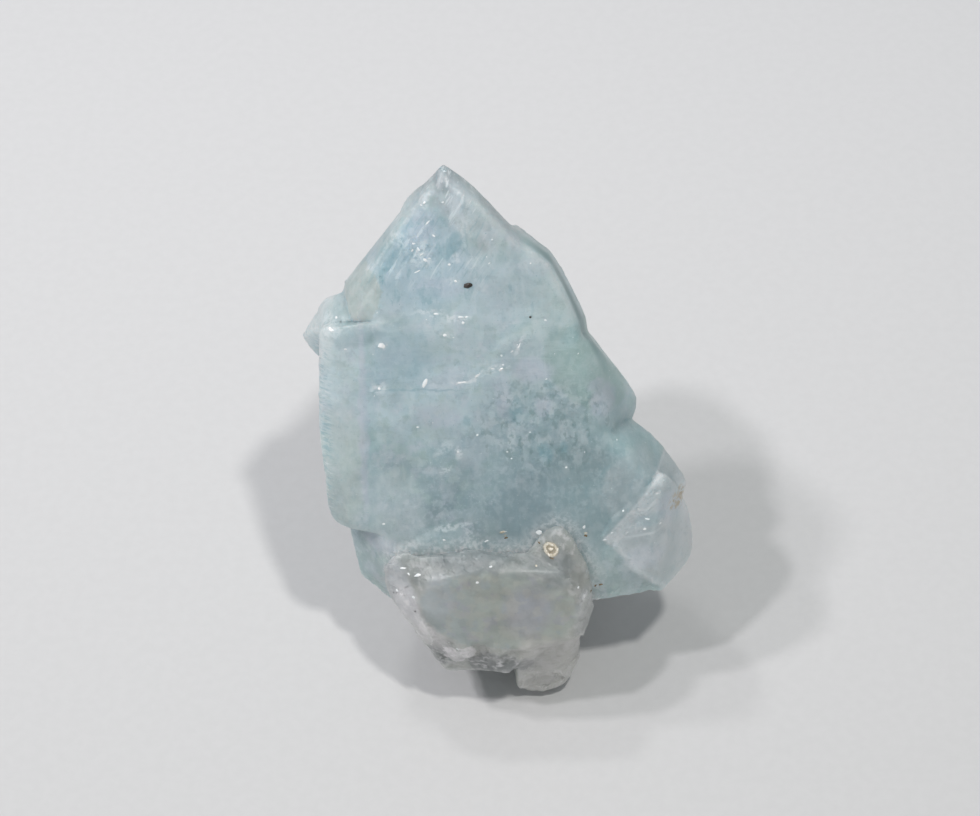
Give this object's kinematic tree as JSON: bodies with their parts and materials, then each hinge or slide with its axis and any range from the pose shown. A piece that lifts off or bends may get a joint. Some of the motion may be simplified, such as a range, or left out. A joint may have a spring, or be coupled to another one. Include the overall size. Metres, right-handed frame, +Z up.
{
  "type": "raw aquamarine crystal",
  "caption": "Raw pointed blade of cloudy blue-green beryl with smaller crystals grown against it, leaning back on the lump of grey quartz that it stands on.",
  "frame": {"origin": "on the flat break under the quartz that the stone stands on, below the blade's broad face", "axes": "+X to the right seen from the front, -Y towards the viewer in front of the blade's broad face, +Z up; the blade leans back by 20 degrees towards +Y"},
  "size_m": [0.0268, 0.0199, 0.0416],
  "materials": {
    "beryl": "satin",
    "quartz": "satin"
  },
  "bodies": {
    "root": {"aquamarine": "beryl", "quartz_matrix": "quartz"}
  },
  "joints": []
}
